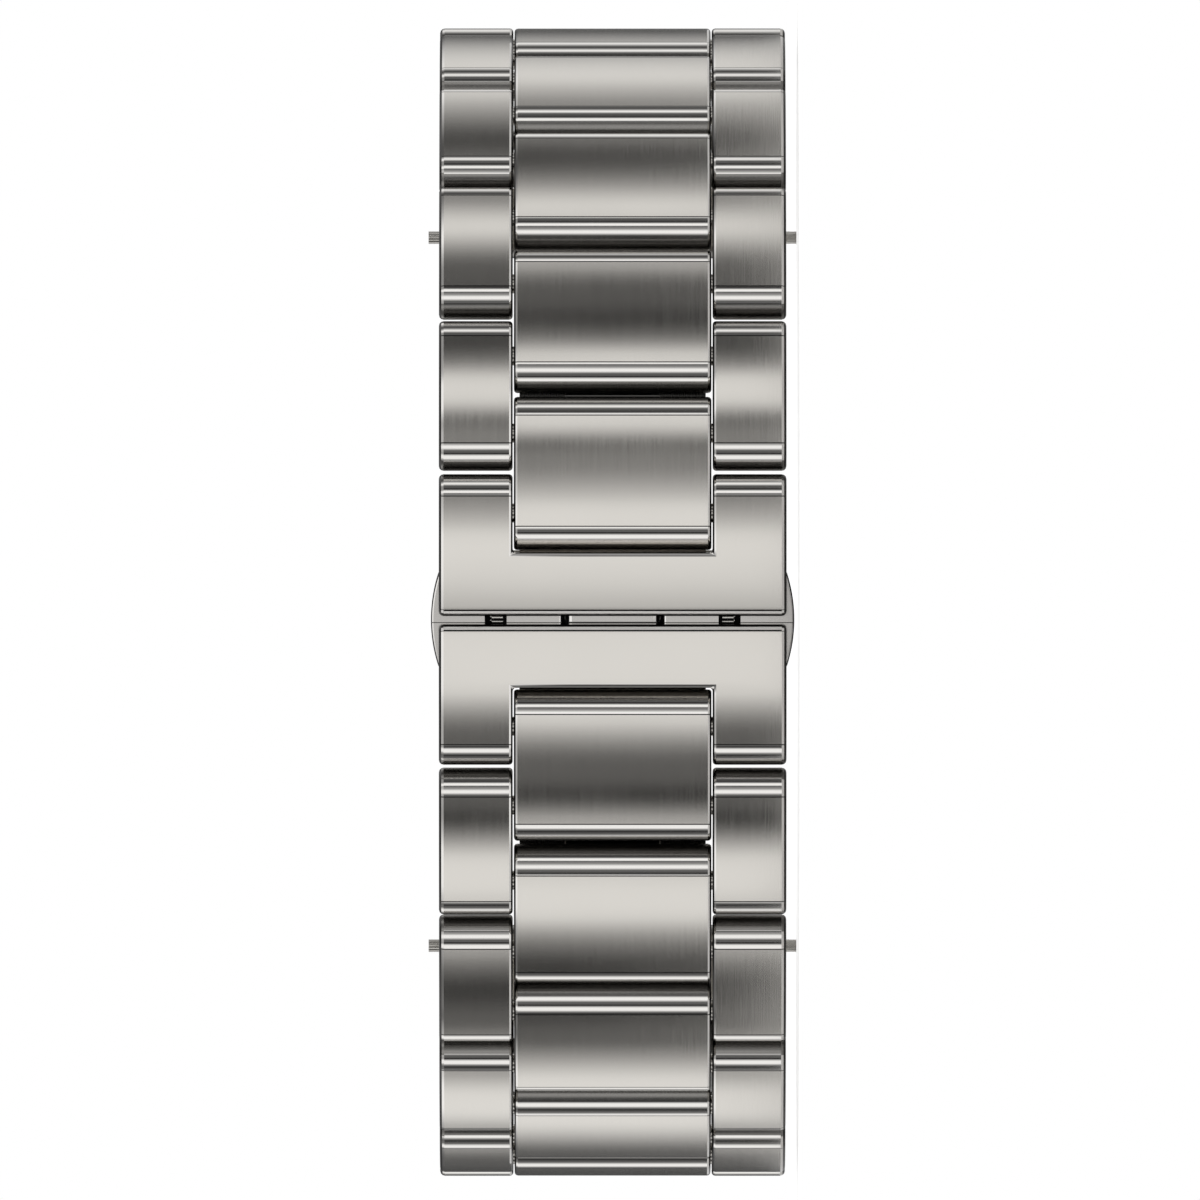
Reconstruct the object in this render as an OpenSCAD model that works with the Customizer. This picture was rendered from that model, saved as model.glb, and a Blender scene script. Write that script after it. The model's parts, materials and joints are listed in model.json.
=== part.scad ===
// Three-row steel watch bracelet with a double-folding clasp that two side buttons release.
//
// The bracelet lies on its side, closed, as it lies on a table. Z runs across the band, along every
// pin. X runs along the band at the clasp, whose covers face -Y. The half on the +X side is half a,
// and half b is its mirror image. A depth is measured from the top of the clasp covers towards the
// wrist, along +Y. A link's own X runs from its first pin to its second, and its Y towards the wrist.

/* [Band] */
// Width of the band, which fills the gap between the watch's lugs
band_w = 22; // [21.5:0.25:24]
// Width of the centre links
centre_w = 12.5; // [12:0.1:12.8]
// Play between a centre link and the side link next to it
row_play = 0.08; // [0.04:0.01:0.12]
// Centre links in each half, and pairs of side links in each half
links_per_half = 6; // [4:1:6]
// Bend of each joint nearer the clasp
bend_near = 9.4; // [8:0.2:10]
// Bend of each joint nearer the watch
bend_far = 15; // [12:0.5:16]
// Joints of each half that have the far bend
far_joints = 4; // [2:1:5]

/* [Links] */
// Distance between the two pins of a link
pitch = 5.1; // [5:0.05:5.5]
// Gap between neighbouring links of one row
link_gap = 0.55; // [0.45:0.05:0.8]
// Thickness of a link
link_t = 2.9; // [2.7:0.05:3.1]
// Radius of the round ends
nose_r = 1.3; // [1.2:0.05:1.4]
// Radius of the domed outer face, along the band
face_r = 23; // [20:1:30]
// Radius of the link pins
pin_r = 0.6; // [0.45:0.05:0.7]
// Running play of a pin in a centre link
pin_play = 0.04; // [0.02:0.01:0.08]
// Depth of a pin's ends below the sides of the band
pin_recess = 0.15; // [0.05:0.05:0.3]

/* [End links and spring bars] */
// Distance from the last pin to the spring bar
end_reach = 7.6; // [7:0.1:9]
// Gap between the last side links and the end link's wide part
end_gap = 0.22; // [0.15:0.01:0.4]
// Radius of the spring bar's tube
bar_r = 0.75; // [0.7:0.01:0.8]
// Wall of the tube
bar_wall = 0.2; // [0.15:0.01:0.25]
// Play of the tube in the end link
bar_play = 0.05; // [0.03:0.01:0.1]
// Radius of the tips, which go into the watch's lugs
tip_r = 0.4; // [0.35:0.01:0.45]
// Length of the tips outside the end link
tip_l = 0.8; // [0.6:0.05:1.2]
// Travel of a tip when it is pressed in
tip_travel = 0.9; // [0.7:0.05:1.3]
// Radius of the flange behind each tip
flange_r = 0.6; // [0.52:0.01:0.65]
// Length of the flange
flange_l = 0.6; // [0.55:0.05:0.8]
// Length of the crimped lip at each end of the tube
lip_l = 0.4; // [0.3:0.05:0.6]
// Length of the head that slides in the tube
head_l = 0.8; // [0.6:0.1:1.2]
// Radius of the wire of the spring inside
bar_wire_r = 0.09; // [0.07:0.01:0.1]
// Turns of the spring inside
bar_turns = 16; // [10:1:18]

/* [Clasp covers] */
// Gap between the two covers
seam_gap = 1.04; // [0.8:0.02:1.2]
// Distance from the seam to the first pin of the band
first_pin_x = 6.75; // [6.7:0.05:7.2]
// Length of a cover's prongs past that pin
prong_reach = 2.52; // [2.45:0.01:2.55]
// Distance from the seam to the highest line of a cover
crown_x = 4; // [3.4:0.1:4.6]
// Radius of a cover's face between that line and the seam
seam_face_r = 45; // [30:1:90]
// Play between the first centre link's sweep and the wall of its recess
recess_play = 0.2; // [0.15:0.01:0.25]
// Radius of the recess's corners
recess_corner_r = 0.25; // [0.15:0.05:0.4]
// Thickness of a cover over the latch
skin_t = 1.2; // [1.1:0.02:1.25]

/* [Folding blades] */
// Depth of the base plate's outer face at the seam
base_depth = 3.7; // [3.7:0.02:3.9]
// Radius of the base plate's outer face
base_r = 36; // [34:0.5:40]
// Thickness of the base plate
base_t = 1; // [0.8:0.05:1.2]
// Thickness of a blade
blade_t = 0.8; // [0.7:0.02:0.85]
// Width of the blades and of the base plate's arms
blade_w = 11.8; // [11.4:0.1:12]
// Gap between a folded blade and the base plate
blade_gap = 0.08; // [0.05:0.01:0.1]
// Distance from the seam to a blade's hinge on the base plate
base_hinge_x = 14; // [13:0.1:15]
// Radius of that hinge's knuckles
base_knuckle_r = 1; // [0.9:0.02:1.05]
// Width of a blade's knuckle there
base_knuckle_w = 5.9; // [5:0.1:7]
// Distance from the seam to a blade's hinge in the cover
cover_hinge_x = 3.95; // [3.9:0.01:4]
// Depth of that hinge
cover_hinge_depth = 2.92; // [2.88:0.01:2.94]
// Radius of the blade's knuckle there
cover_knuckle_r = 0.75; // [0.7:0.01:0.76]
// Radius of the hinge pins
hinge_pin_r = 0.4; // [0.35:0.01:0.42]
// Running play of a hinge pin in a blade
hinge_play = 0.05; // [0.03:0.01:0.08]
// Gap beside and around the hinge knuckles
knuckle_gap = 0.15; // [0.1:0.01:0.16]

/* [Latch] */
// Width of the latch block between the buttons, across the band
block_w = 5.8; // [5.4:0.1:6]
// Length of the latch block along the band
block_l = 5.8; // [5:0.1:6]
// Depth of the top of the block and of the buttons
latch_depth = 1.35; // [1.3:0.01:1.4]
// Thickness of the buttons
button_t = 2; // [1.9:0.05:2.05]
// Width of a button along the band
button_w = 6.1; // [5.8:0.05:6.15]
// Radius of a button's rounded end
button_r = 9.4; // [8:0.2:12]
// Reach of a button past the side of the band
button_proud = 0.5; // [0.4:0.05:0.8]
// Gap between a button and the block
button_gap = 0.32; // [0.31:0.01:0.45]
// Travel of a button
button_travel = 0.3; // [0.25:0.01:0.3]
// Distance from the middle of the band to a button's window
window_z = 6.7; // [6.65:0.05:6.9]
// Width of the window across the band
window_w = 1.4; // [1.3:0.05:1.5]
// Length of the window along the band
window_l = 4.4; // [4.2:0.1:4.8]
// Bite of a cover's hook under the edge of the window
hook_bite = 0.2; // [0.15:0.01:0.2]
// Thickness of the window's edge over the hook
ledge_t = 1; // [0.8:0.05:1.1]
// Distance from the seam to a hook
hook_x = 0.65; // [0.6:0.01:0.8]
// Length of a hook along the band
hook_l = 0.6; // [0.5:0.05:0.7]
// Thickness of a hook's stem across the band
hook_t = 0.6; // [0.5:0.05:0.65]
// Room between a hook's end and the bed under the button
hook_room = 0.4; // [0.3:0.05:0.5]
// Width of the guides beside a button, across the band
guide_w = 2; // [1.5:0.1:2.2]
// Thickness of the guides
guide_t = 0.7; // [0.6:0.05:0.8]
// Length of the stop in the window, along the band
stop_l = 0.6; // [0.4:0.1:0.8]
// Wall of a button over its spring
spring_wall = 0.23; // [0.2:0.01:0.3]
// Depth of the spring's bore in a button
spring_bore_l = 2.4; // [2:0.1:2.6]
// Play of a button spring in its bore
spring_play = 0.07; // [0.05:0.01:0.1]
// Radius of the wire of the button springs
button_wire_r = 0.12; // [0.08:0.01:0.14]
// Turns of the button springs
button_turns = 5; // [4:1:7]

/* [Hidden] */
$fn = 180;
// Sliding play of the pieces of the latch
play = 0.1;
// Overlap that joins two shapes of one solid
join = 0.3;
// Reach of a cut past what it cuts
past = 20;
// Sides of a spring's wire, and rings in each of its turns
wire_sides = 6;
turn_rings = 12;

joint_count = 2 * links_per_half + 1;
side_in = centre_w / 2 + row_play;
side_out = band_w / 2;

// Links: the ends' centres lie so that the round ends run on into the dome and the flat inner face
link_l = 2 * pitch - link_gap;
overhang = (link_l - pitch) / 2 - nose_r;
function nose_drop(span) = face_r - link_t / 2 - sqrt(pow(face_r - nose_r, 2) - pow(span / 2, 2));
nose_sweep = norm([overhang, nose_drop(link_l - 2 * nose_r)]) + nose_r;

// Covers
crown_drop = face_r - sqrt(pow(face_r, 2) - pow(first_pin_x - crown_x, 2));
first_pin_depth = crown_drop + link_t / 2;
prong_end_x = first_pin_x + prong_reach - nose_r;
prong_end_depth = face_r - sqrt(pow(face_r - nose_r, 2) - pow(prong_end_x - crown_x, 2));
cover_t = prong_end_depth + nose_r;
recess_x = first_pin_x - nose_sweep - recess_play;

// Blades and base plate, which are arcs about one line
arc_depth = base_depth + base_r;
base_hinge_depth = arc_depth - sqrt(pow(base_r, 2) - pow(base_hinge_x, 2));
blade_in_r = base_r + blade_gap;
blade_out_r = blade_in_r + blade_t;
knuckle_hole_r = base_knuckle_r + knuckle_gap;
ear_r = cover_knuckle_r + hinge_play;

// Latch
button_in = block_w / 2 + button_gap;
button_end = side_out + button_proud;
seat_depth = latch_depth + button_t + hinge_play;
latch_x = button_w / 2 + play;
window_out = window_z + window_w;
hook_depth = latch_depth + ledge_t + play;
hook_end_depth = seat_depth - hook_room;
guide_in = window_out + play;
guide_out = guide_in + guide_w;
ear_out = guide_in - play;
spring_depth = latch_depth + button_t / 2;
spring_bore_r = button_t / 2 - spring_wall;
spring_r = spring_bore_r - spring_play;
spring_in = block_w / 4;
spring_out = button_in + spring_bore_l;

// Spring bars
flange_in = side_out - flange_l;
tube_end = flange_in - tip_travel - play;
head_out = tube_end - lip_l;
head_in = head_out - head_l;
tube_bore_r = bar_r - bar_wall;

// The pose of the band: link k turns about pin k, and link 0 is the cover
function bend(k) = k <= joint_count - far_joints ? bend_near : bend_far;
function tilt(k) = k < 1 ? 0 : tilt(k - 1) + bend(k);
function step(k) = [cos(tilt(k)), sin(tilt(k))];
function pin_at(k) = k < 2 ? [first_pin_x, first_pin_depth] : pin_at(k - 1) + pitch * step(k - 1);

end_span = end_reach + overhang;
bar_drop = nose_drop(end_span);
bar_at = pin_at(joint_count)
       + end_reach * step(joint_count)
       + bar_drop * [-sin(tilt(joint_count)), cos(tilt(joint_count))];

// The origin is under the middle of the bracelet, on the table
mid_depth = (bar_at[1] + nose_r) / 2;
mid_z = side_out + tip_l;

satin = [0.72, 0.71, 0.69];
polished = [0.82, 0.81, 0.79];
dark = [0.5, 0.49, 0.48];

// Places and mirrors

module in_frame() {
    translate([0, -mid_depth, mid_z]) children();
}

module on_half(half) {
    in_frame() mirror([half == "b" ? 1 : 0, 0, 0]) children();
}

module on_link(half, k) {
    on_half(half) translate(pin_at(k)) rotate(tilt(k)) children();
}

module both_sides() {
    children();
    mirror([0, 0, 1]) children();
}

module bar_side(end) {
    mirror([0, 0, end == "bottom" ? 1 : 0]) children();
}

// Shapes

module block(x, depth, z) {
    translate([x[0], depth[0], z[0]]) cube([x[1] - x[0], depth[1] - depth[0], z[1] - z[0]]);
}

module shaft(r, z) {
    translate([0, 0, z[0]]) cylinder(r = r, h = z[1] - z[0]);
}

module across(w) {
    linear_extrude(w, center = true) children();
}

// Side view of a link: a domed face, a flat inner face and two round ends, whose centres are span apart
module link_profile(span) {
    drop = nose_drop(span);
    face_half = span / 2 * face_r / (face_r - nose_r);
    intersection() {
        translate([0, face_r - link_t / 2]) circle(face_r);
        translate([-face_half, -link_t]) square([2 * face_half, link_t + drop]);
    }
    translate([-span / 2, 0]) square([span, drop + nose_r]);
    for (end = [-1, 1]) {
        translate([end * span / 2, drop]) circle(nose_r);
    }
}

module link_bar(w) {
    translate([pitch / 2, 0]) across(w) link_profile(link_l - 2 * nose_r);
}

// Side view of a cover
module cover_profile() {
    face_end = crown_x + (prong_end_x - crown_x) * face_r / (face_r - nose_r);
    intersection() {
        translate([crown_x, seam_face_r]) circle(seam_face_r);
        translate([seam_gap / 2, -link_t]) square([crown_x - seam_gap / 2, link_t + cover_t]);
    }
    intersection() {
        translate([crown_x, face_r]) circle(face_r);
        translate([crown_x, -link_t]) square([face_end - crown_x, link_t + prong_end_depth]);
    }
    translate([crown_x, link_t / 4]) square([prong_end_x - crown_x, cover_t - link_t / 4]);
    translate([prong_end_x, prong_end_depth]) circle(nose_r);
}

// Part of a plate that is curved about the clasp's arc
module arc_plate(out_r, in_r, x, z) {
    intersection() {
        translate([0, arc_depth, 0]) difference() {
            shaft(out_r, z);
            shaft(in_r, [z[0] - join, z[1] + join]);
        }
        block(x, [0, arc_depth], z);
    }
}

function ring(i, mean_r, wire_r, height, turns) =
    let (a = 360 * i / turn_rings, z = height * i / (turn_rings * turns))
    [for (s = [0:wire_sides - 1])
        let (b = 360 * s / wire_sides, r = mean_r + wire_r * cos(b))
        [r * cos(a), r * sin(a), z + wire_r * sin(b)]];

// Coil spring along Z, of an even pitch, as one tube
module coil(outer_r, wire_r, height, turns) {
    rings = turn_rings * turns;
    rise = height - 2 * wire_r;
    points = [for (i = [0:rings]) each ring(i, outer_r - wire_r, wire_r, rise, turns)];
    walls = [for (i = [0:rings - 1], s = [0:wire_sides - 1], half = [0, 1])
        let (t = (s + 1) % wire_sides, low = i * wire_sides, high = low + wire_sides)
        half == 0 ? [low + s, high + s, high + t] : [low + s, high + t, low + t]];
    caps = [[for (s = [0:wire_sides - 1]) s],
            [for (s = [0:wire_sides - 1]) (rings + 1) * wire_sides - 1 - s]];
    translate([0, 0, wire_r]) polyhedron(points, concat(walls, caps));
}

// The clasp's fixed middle

module base_outline() {
    arm = blade_w / 2;
    arc_plate(base_r, base_r - base_t, [-base_hinge_x, base_hinge_x], [-arm, arm]);
    arc_plate(base_r, base_r - base_t, [-button_w / 2, button_w / 2], [-guide_out, guide_out]);
    for (x = [-base_hinge_x, base_hinge_x]) {
        translate([x, base_hinge_depth, 0]) shaft(base_knuckle_r, [-arm, arm]);
    }
    both_sides() {
        // Bed that the button slides on
        block([-block_l / 2, block_l / 2], [seat_depth, base_depth + join], [block_w / 2, guide_out]);
        // Stop in the window, which keeps the button from sliding out
        block([-stop_l / 2, stop_l / 2], [latch_depth + play, base_depth + join],
              [window_z + hinge_play, window_out - button_travel - play - hinge_play]);
        // Guides beside the button
        for (side = [0, 1]) {
            mirror([side, 0, 0]) {
                arc_plate(base_r, base_r - base_t, [0, latch_x + guide_t], [guide_in, guide_out]);
                block([latch_x, latch_x + guide_t], [latch_depth + play, base_depth + join],
                      [guide_in, guide_out]);
            }
        }
    }
}

module base_plate() {
    notch = base_knuckle_w / 2 + knuckle_gap / 2;
    color(satin) in_frame() difference() {
        base_outline();
        for (side = [0, 1]) {
            mirror([side, 0, 0]) translate([base_hinge_x, base_hinge_depth, 0]) {
                shaft(knuckle_hole_r, [-notch, notch]);
                translate([0, -knuckle_hole_r, -notch]) cube([past, 2 * knuckle_hole_r, 2 * notch]);
                shaft(hinge_pin_r, [-past, past]);
            }
        }
    }
}

module latch_block() {
    color(satin) in_frame() difference() {
        block([-block_l / 2, block_l / 2], [latch_depth, base_depth + base_t],
              [-block_w / 2, block_w / 2]);
        translate([0, arc_depth, 0]) shaft(base_r, [-past, past]);
        both_sides() translate([0, spring_depth, 0]) shaft(spring_bore_r, [spring_in, past]);
    }
}

// Push buttons and their springs

module button_outline() {
    intersection() {
        translate([0, button_end - button_r]) circle(button_r);
        translate([-button_w / 2, button_in]) square([button_w, button_end]);
    }
}

module button(end) {
    color(satin) in_frame() bar_side(end) difference() {
        translate([0, latch_depth + button_t, 0]) rotate([90, 0, 0])
            linear_extrude(button_t) button_outline();
        block([-window_l / 2, window_l / 2], [0, past], [window_z, window_out]);
        block([-window_l / 2, window_l / 2], [latch_depth + ledge_t, past],
              [window_z - hook_bite - button_travel - play, window_out]);
        translate([0, spring_depth, 0]) shaft(spring_bore_r, [0, spring_out]);
    }
}

module button_spring(end) {
    color(dark) in_frame() bar_side(end) translate([0, spring_depth, spring_in])
        coil(spring_r, button_wire_r, spring_out - spring_in, button_turns);
}

// Folding blades

module blade(half) {
    arm = blade_w / 2;
    knuckle = base_knuckle_w / 2;
    color(polished) on_half(half) difference() {
        union() {
            difference() {
                arc_plate(blade_out_r, blade_in_r, [cover_hinge_x, base_hinge_x], [-arm, arm]);
                both_sides() translate([base_hinge_x, base_hinge_depth, 0])
                    shaft(knuckle_hole_r, [knuckle, past]);
            }
            translate([base_hinge_x, base_hinge_depth, 0]) shaft(base_knuckle_r, [-knuckle, knuckle]);
            translate([cover_hinge_x, cover_hinge_depth, 0]) shaft(cover_knuckle_r, [-arm, arm]);
        }
        translate([base_hinge_x, base_hinge_depth, 0]) shaft(hinge_pin_r + hinge_play, [-past, past]);
        translate([cover_hinge_x, cover_hinge_depth, 0]) shaft(hinge_pin_r + hinge_play, [-past, past]);
    }
}

module blade_pin(half) {
    arm = blade_w / 2;
    color(polished) on_half(half) translate([base_hinge_x, base_hinge_depth, 0])
        shaft(hinge_pin_r, [-arm, arm]);
}

// Clasp covers

// Recess for the first centre link, seen from outside, with rounded corners
module recess_outline() {
    inner = side_in - recess_corner_r;
    translate([recess_x + recess_corner_r, -side_in]) square([past, 2 * side_in]);
    translate([recess_x, -inner]) square([past, 2 * inner]);
    for (z = [-inner, inner]) {
        translate([recess_x + recess_corner_r, z]) circle(recess_corner_r);
    }
}

module hook() {
    stem_z = window_z + play;
    block([hook_x, hook_x + hook_l], [skin_t - join, hook_end_depth], [stem_z, stem_z + hook_t]);
    block([hook_x, hook_x + hook_l], [hook_depth, hook_end_depth],
          [window_z - hook_bite, stem_z + hook_t / 2]);
}

module ear() {
    translate([cover_hinge_x, cover_hinge_depth, 0]) shaft(ear_r, [side_in, ear_out]);
    block([cover_hinge_x, cover_hinge_x + ear_r], [link_t / 2, cover_hinge_depth], [side_in, ear_out]);
}

module cover(half) {
    knuckle_room = cover_knuckle_r + knuckle_gap;
    color(satin) on_half(half) difference() {
        union() {
            difference() {
                across(band_w) cover_profile();
                translate([0, past, 0]) rotate([90, 0, 0]) linear_extrude(2 * past) recess_outline();
                // Room for the latch, for the blade's knuckle and for the base plate's guides
                block([-past, latch_x + hinge_play], [skin_t, past], [-past, past]);
                block([0, recess_x + join], [cover_hinge_depth - knuckle_room, past],
                      [-side_in, side_in]);
                both_sides() block([0, latch_x + guide_t + knuckle_gap], [skin_t, past],
                                   [guide_in - play, guide_out + play]);
            }
            both_sides() ear();
            both_sides() hook();
        }
        translate([first_pin_x, first_pin_depth, 0]) shaft(pin_r, [-past, past]);
        translate([cover_hinge_x, cover_hinge_depth, 0]) shaft(hinge_pin_r, [-ear_out, ear_out]);
    }
}

module cover_pins(half) {
    color(polished) on_half(half) {
        translate([first_pin_x, first_pin_depth, 0]) link_pin();
        translate([cover_hinge_x, cover_hinge_depth, 0]) shaft(hinge_pin_r, [-ear_out, ear_out]);
    }
}

// Links and their pins

module link_pin() {
    shaft(pin_r, [pin_recess - side_out, side_out - pin_recess]);
}

module centre_link(half, n) {
    color(satin) on_link(half, 2 * n - 1) difference() {
        link_bar(centre_w);
        for (x = [0, pitch]) {
            translate([x, 0, 0]) shaft(pin_r + pin_play, [-past, past]);
        }
    }
}

module side_links(half, n) {
    side_w = side_out - side_in;
    color(satin) on_link(half, 2 * n) both_sides() difference() {
        translate([0, 0, side_in + side_w / 2]) link_bar(side_w);
        for (x = [0, pitch]) {
            translate([x, 0, 0]) shaft(pin_r, [0, past]);
        }
    }
}

module link_pins(half, n) {
    color(polished) on_link(half, 2 * n) {
        for (x = [0, pitch]) {
            translate([x, 0, 0]) link_pin();
        }
    }
}

// End links and spring bars

module on_bar(half) {
    on_link(half, joint_count) translate([end_reach, bar_drop, 0]) children();
}

module end_link(half) {
    wide_x = nose_sweep + end_gap;
    color(satin) on_link(half, joint_count) difference() {
        translate([(end_reach - overhang) / 2, 0, 0]) across(band_w) link_profile(end_span);
        both_sides() block([-past, wide_x], [-past, past], [centre_w / 2, past]);
        shaft(pin_r + pin_play, [-past, past]);
        translate([end_reach, bar_drop, 0]) shaft(bar_r + bar_play, [-past, past]);
    }
}

module spring_bar(half) {
    color(polished) on_bar(half) difference() {
        shaft(bar_r, [-tube_end, tube_end]);
        shaft(tube_bore_r, [-head_out, head_out]);
        shaft(tip_r + hinge_play, [-past, past]);
    }
}

module bar_tip(half, end) {
    color(polished) on_bar(half) bar_side(end) {
        shaft(tube_bore_r - hinge_play, [head_in, head_out]);
        shaft(tip_r, [head_in, side_out + tip_l]);
        shaft(flange_r, [flange_in, side_out]);
    }
}

module bar_spring(half) {
    color(dark) on_bar(half) translate([0, 0, -head_in])
        coil(tube_bore_r - 2 * hinge_play, bar_wire_r, 2 * head_in, bar_turns);
}

base_plate();
latch_block();
for (end = ["top", "bottom"]) {
    button(end);
    button_spring(end);
}
for (half = ["a", "b"]) {
    blade(half);
    blade_pin(half);
    cover(half);
    cover_pins(half);
    end_link(half);
    spring_bar(half);
    bar_spring(half);
    bar_tip(half, "top");
    bar_tip(half, "bottom");
    for (n = [1:links_per_half]) {
        centre_link(half, n);
        side_links(half, n);
        link_pins(half, n);
    }
}
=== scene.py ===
import json
import math

import bmesh
import bpy
from mathutils import Matrix, Vector


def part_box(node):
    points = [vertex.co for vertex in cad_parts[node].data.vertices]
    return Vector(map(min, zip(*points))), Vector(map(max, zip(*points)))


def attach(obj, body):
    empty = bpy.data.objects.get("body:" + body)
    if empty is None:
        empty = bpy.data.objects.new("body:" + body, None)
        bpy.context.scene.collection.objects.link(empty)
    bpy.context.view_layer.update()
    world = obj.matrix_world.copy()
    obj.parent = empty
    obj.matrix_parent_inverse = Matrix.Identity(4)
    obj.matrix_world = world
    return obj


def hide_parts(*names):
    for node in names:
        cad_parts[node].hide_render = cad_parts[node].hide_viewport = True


# Steel watch bracelet, seen square on to its closed clasp. Sizes are in millimetres.
MM = 0.001

# The band and its links
BAND_W = 22.0
CENTRE_W = 12.5
ROW_PLAY = 0.08
LINKS = 6
PITCH = 5.1
LINK_GAP = 0.4
LINK_T = 2.9
NOSE_R = 1.3
POLISH_R = 1.56
FACE_R = 23.0
# Width of the painted dark line where a round end begins
BORDER_W = 0.07
PIN_R = 0.6
PIN_PLAY = 0.04
FIRST_BACK = math.radians(19.4)
END_REACH = 7.6
END_GAP = 0.22
BAR_BORE_R = 0.8

# The covers of the clasp, along the band from the seam and in depth from their highest line
SEAM_GAP = 0.54
SEAM_ROUND = 0.45
SEAM_FACE_R = 60.0
CROWN_X = 4.0
RECESS_X = 4.265
FIRST_PIN_X = 6.75
PRONG_REACH = 2.45
SKIN_T = 1.2
COVER_INSIDE = 2.966
LATCH_X = 3.15
LATCH_PLAY = 0.05
GUIDE_ROOM = (8.1, 10.3)
GUIDE_ROOM_X = 4.0
HINGE_X = 3.95
HINGE_DEPTH = 2.92
HINGE_PIN_R = 0.4
KNUCKLE_ROOM = 0.9
KNUCKLE_UNDERCUT = 0.3
EAR_R = 0.8
EAR_OUT = 8.1
HOOK_X = (0.65, 1.25)
HOOK_DEPTH = (2.45, 2.95)
HOOK_Z = (6.5, 6.8, 7.4)
HOOK_ROOT = 0.3

# The latch block and its buttons
LATCH_DEPTH = 1.35
BASE_DEPTH = 3.7
BLOCK_W = 5.8
BLOCK_L = 5.8
BUTTON_T = 2.0
BUTTON_W = 6.1
BUTTON_R = 9.4
BUTTON_IN = 3.22
BUTTON_OUT = 11.5
WINDOW_L = 4.4
WINDOW_Z = (6.7, 8.1)
LEDGE_T = 1.0
LEDGE_IN = 6.1
SPRING_BORE_R = 0.77
SPRING_DEPTH = 2.35
SPRING_BORE_END = 5.62
LINE_X = -0.18
LINE_W = 0.11
BUTTON_LINE_W = 0.05
LINE_DEPTH = 0.1

# Broken edges, and how finely curves are drawn
EDGE_R = 0.22
OUTER_EDGE_R = 0.3
BUTTON_EDGE_R = 0.32
EDGE_FLATS = 3
SHARP = math.radians(50)
SMOOTH = math.radians(12)
FACE_CORNERS = 240
SEAM_FACE_CORNERS = 1440
NOSE_CORNERS = 120
LIP_CORNERS = 40
ROD_CORNERS = 48
BUTTON_CORNERS = 360
MERGE = 0.004
HAIR = 0.01
ON_THE_LINE = 1e-8
PAST = 9.0
FAR_PAST = 20.0

# Where a finish ends, by how far a face leans, the painted gap shade, painted dark reflections and painted
# highlights among them
SIDEWAYS = 0.5
FULLY_SIDEWAYS = 0.99
OUTWARD = -0.5
GAP_LEAN = 0.6
SEAM_LIP = (0.999, 0.94, 0.74, -0.1)

# Depth of the drawn lines in the steel
LINE_RELIEF = 0.002

# Painted shadow under the seam, with painted glints at the hooks, and painted shade on the hinges
SHADOW_TONE = 0.004
SHADE_X = 1.6
SHADE_Z = 8.3
SHADE_DEPTH = 1.95
GLINT_X = (0.14, -0.11)
GLINT_W = 0.08
GLINT_Z = 7.35
GLINT_L = 0.8
HINGE_FAR_X = 14.0
HINGE_SHADE_X = 1.4
HINGE_SHADE_DEPTH = 6.5
HINGE_SHADE = 0.9

# Camera and floor
VIEW_TURN = math.radians(2.1)
VIEW_UP = 0.36
VIEW_ASIDE = 0.8
FRAME_W = 75.9
LENS = 1600.0
SENSOR = 36.0
FLOOR_SIZE = 300.0
FLOOR_FRONT = 25.0
FLOOR_TONE = 0.97
FLOOR_GLOW = 0.5

SIDE_IN = CENTRE_W / 2 + ROW_PLAY
SIDE_OUT = BAND_W / 2
LINK_L = 2 * PITCH - LINK_GAP

# Places in a piece's list of finishes, after its satin: polished, painted dark reflection and shade, painted
# gap shade, painted highlight
POLISHED, PAINTED_DARK, GAP_SHADE, PAINTED_HIGHLIGHT = range(1, 5)

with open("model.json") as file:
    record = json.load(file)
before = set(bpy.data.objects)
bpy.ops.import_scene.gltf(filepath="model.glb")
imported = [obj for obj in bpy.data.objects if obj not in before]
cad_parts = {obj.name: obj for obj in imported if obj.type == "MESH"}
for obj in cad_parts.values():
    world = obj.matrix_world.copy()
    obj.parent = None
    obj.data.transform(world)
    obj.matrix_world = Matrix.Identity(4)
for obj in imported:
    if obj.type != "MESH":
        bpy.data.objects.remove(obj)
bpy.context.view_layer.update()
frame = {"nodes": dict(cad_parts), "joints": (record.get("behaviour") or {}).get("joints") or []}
MID_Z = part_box("cover_a")[0][2] + SIDE_OUT * MM
TOP_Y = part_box("cover_a")[0][1]


# Making pieces


def mode(name):
    bpy.ops.object.mode_set(mode=name)


def pick_objects(*things):
    """Selects these objects alone, the first of them active."""
    bpy.ops.object.select_all(action="DESELECT")
    for thing in things:
        thing.select_set(True)
    bpy.context.view_layer.objects.active = things[0]


def arc(centre, radius, corners, cuts, squash=1.0):
    """Adds a circle to the outline, clears it beyond each line through a point, then squashes it."""
    bpy.ops.mesh.primitive_circle_add(vertices=corners, radius=radius * MM,
                                      location=(centre[0] * MM, centre[1] * MM, 0))
    bpy.ops.mesh.hide(unselected=True)
    for point, away in cuts:
        bpy.ops.mesh.select_all(action="SELECT")
        bpy.ops.mesh.bisect(plane_co=(point[0] * MM, point[1] * MM, 0),
                            plane_no=(away[0], away[1], 0), clear_outer=True, threshold=ON_THE_LINE)
    bpy.ops.mesh.select_all(action="SELECT")
    bpy.ops.transform.resize(value=(1, squash, 1), center_override=(centre[0] * MM, centre[1] * MM, 0))
    bpy.ops.mesh.reveal(select=False)


def outline_point(point):
    return Vector((point[0], point[1], 0)) * MM


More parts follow.
